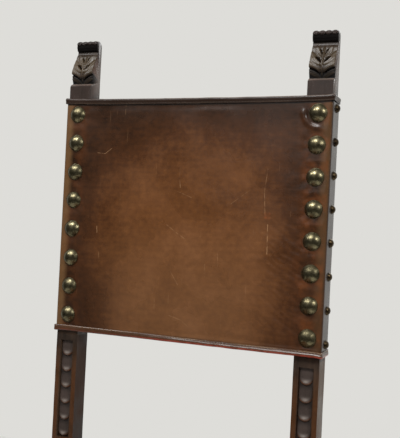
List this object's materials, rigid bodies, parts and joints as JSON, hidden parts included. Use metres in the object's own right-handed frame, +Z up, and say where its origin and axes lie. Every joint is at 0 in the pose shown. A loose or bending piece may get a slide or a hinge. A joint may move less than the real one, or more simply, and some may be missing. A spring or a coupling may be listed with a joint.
{
  "type": "high-back chair",
  "caption": "High-back side chair: carved dark hardwood frame with scrolled finials, padded leather back and seat, and rows of domed brass nails.",
  "frame": {"origin": "on the floor, at the middle of the chair's footprint box", "axes": "+Z up, -Y out of the chair's front, +X towards the right as seen when facing the chair"},
  "size_m": [0.491, 0.5368, 1.1881],
  "materials": {
    "carved_wood": "dark stained and waxed hardwood with rubbed edges",
    "frame_wood": "sawn hardwood, unfinished",
    "peg_wood": "end grain of stained pegs",
    "cover_leather": "polished brown hide, scuffed and mottled",
    "edge_leather": "folded hide edge, darker and rubbed",
    "aged_brass": "antique brass with dull highlights",
    "dark_brass": "small nails, darkened with age",
    "jute_webbing": "woven jute",
    "canvas": "coarse canvas",
    "stuffing": "horsehair and fibre pad",
    "fixing_steel": "blued steel"
  },
  "bodies": {
    "root": {"left_back_post": "carved_wood", "right_back_post": "carved_wood", "left_front_leg": "carved_wood", "right_front_leg": "carved_wood", "front_stretcher": "carved_wood", "rear_stretcher": "carved_wood", "left_side_stretcher": "carved_wood", "right_side_stretcher": "carved_wood", "front_seat_rail": "carved_wood", "rear_seat_rail": "carved_wood", "left_seat_rail": "carved_wood", "right_seat_rail": "carved_wood", "upper_back_rail": "frame_wood", "lower_back_rail": "frame_wood", "left_front_corner_block": "frame_wood", "right_front_corner_block": "frame_wood", "left_rear_corner_block": "frame_wood", "right_rear_corner_block": "frame_wood", "joint_pegs": "peg_wood", "back_front_leather": "cover_leather", "back_rear_leather": "cover_leather", "seat_leather": "cover_leather", "upper_binding": "edge_leather", "lower_binding": "edge_leather", "back_front_nails": "aged_brass", "seat_front_nails": "aged_brass", "seat_side_nails": "aged_brass", "back_side_nails": "dark_brass", "back_rear_nails": "dark_brass", "seat_rear_nails": "dark_brass", "seat_webbing_long": "jute_webbing", "seat_webbing_cross": "jute_webbing", "back_webbing": "jute_webbing", "seat_canvas": "canvas", "back_canvas": "canvas", "seat_stuffing": "stuffing", "back_stuffing": "stuffing", "seat_webbing_tacks": "fixing_steel", "back_webbing_tacks": "fixing_steel", "corner_block_screws": "fixing_steel"}
  },
  "joints": []
}
